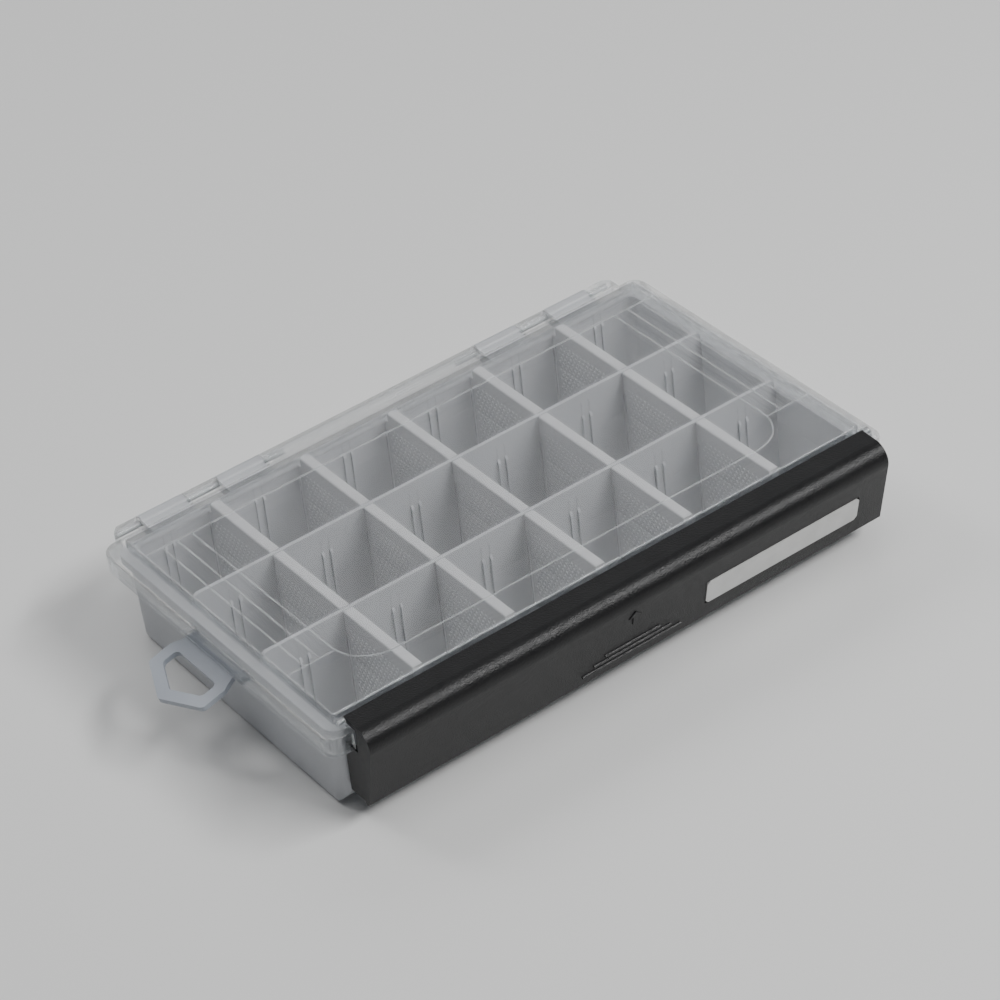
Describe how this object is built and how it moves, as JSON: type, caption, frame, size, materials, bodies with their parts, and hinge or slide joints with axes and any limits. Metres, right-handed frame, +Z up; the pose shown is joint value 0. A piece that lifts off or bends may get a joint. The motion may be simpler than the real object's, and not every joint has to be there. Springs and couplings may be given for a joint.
{
  "type": "compartment tackle box",
  "caption": "Flat compartment box with a hinged clear lid, a milky tray with slide-in dividers, a full-width front latch and a hanging loop, for lures and small tackle.",
  "frame": {"origin": "on the tray's flat underside, below the middle of the lid's raised panel", "axes": "+X along the length, away from the hanging loop; -Y towards the latch; +Z up"},
  "size_m": [0.2529, 0.1534, 0.0424],
  "materials": {
    "milky_tray": "milky translucent moulded plastic, smooth",
    "clear_lid": "clear moulded plastic, glossy",
    "black_latch": "black moulded plastic with a fine grain",
    "pale_label": "smooth pale writing strip",
    "milky_loop": "milky moulded plastic",
    "milky_divider": "milky translucent moulded plastic with small raised dots",
    "pale_pin": "natural plastic rod, smooth"
  },
  "bodies": {
    "tray": {"tray": "milky_tray", "hinge_pin_left": "pale_pin", "hinge_pin_right": "pale_pin", "divider_front_1": "milky_divider", "divider_front_2": "milky_divider", "divider_front_3": "milky_divider", "divider_front_4": "milky_divider", "divider_front_5": "milky_divider", "divider_middle_1": "milky_divider", "divider_middle_2": "milky_divider", "divider_middle_3": "milky_divider", "divider_middle_4": "milky_divider", "divider_middle_5": "milky_divider", "divider_rear_1": "milky_divider", "divider_rear_2": "milky_divider", "divider_rear_3": "milky_divider", "divider_rear_4": "milky_divider", "divider_rear_5": "milky_divider"},
    "lid": {"lid": "clear_lid", "latch_pin_left": "pale_pin", "latch_pin_right": "pale_pin"},
    "latch": {"latch": "black_latch", "label_strip": "pale_label"},
    "hang_loop": {"hang_loop": "milky_loop"}
  },
  "joints": [
    {"name": "lid_hinge", "type": "hinge", "parent": "tray", "child": "lid", "pos_m": [0, 0.074, 0.035], "axis": [-1, 0, 0], "range_deg": [0, 110]},
    {"name": "latch_hinge", "type": "hinge", "parent": "lid", "child": "latch", "pos_m": [0, -0.0637, 0.0395], "axis": [-1, 0, 0], "range_deg": [0, 95]},
    {"name": "loop_hinge", "type": "hinge", "parent": "tray", "child": "hang_loop", "pos_m": [-0.1133, 0.0043, 0.0282], "axis": [0, 1, 0], "range_deg": [-70, 12]}
  ]
}
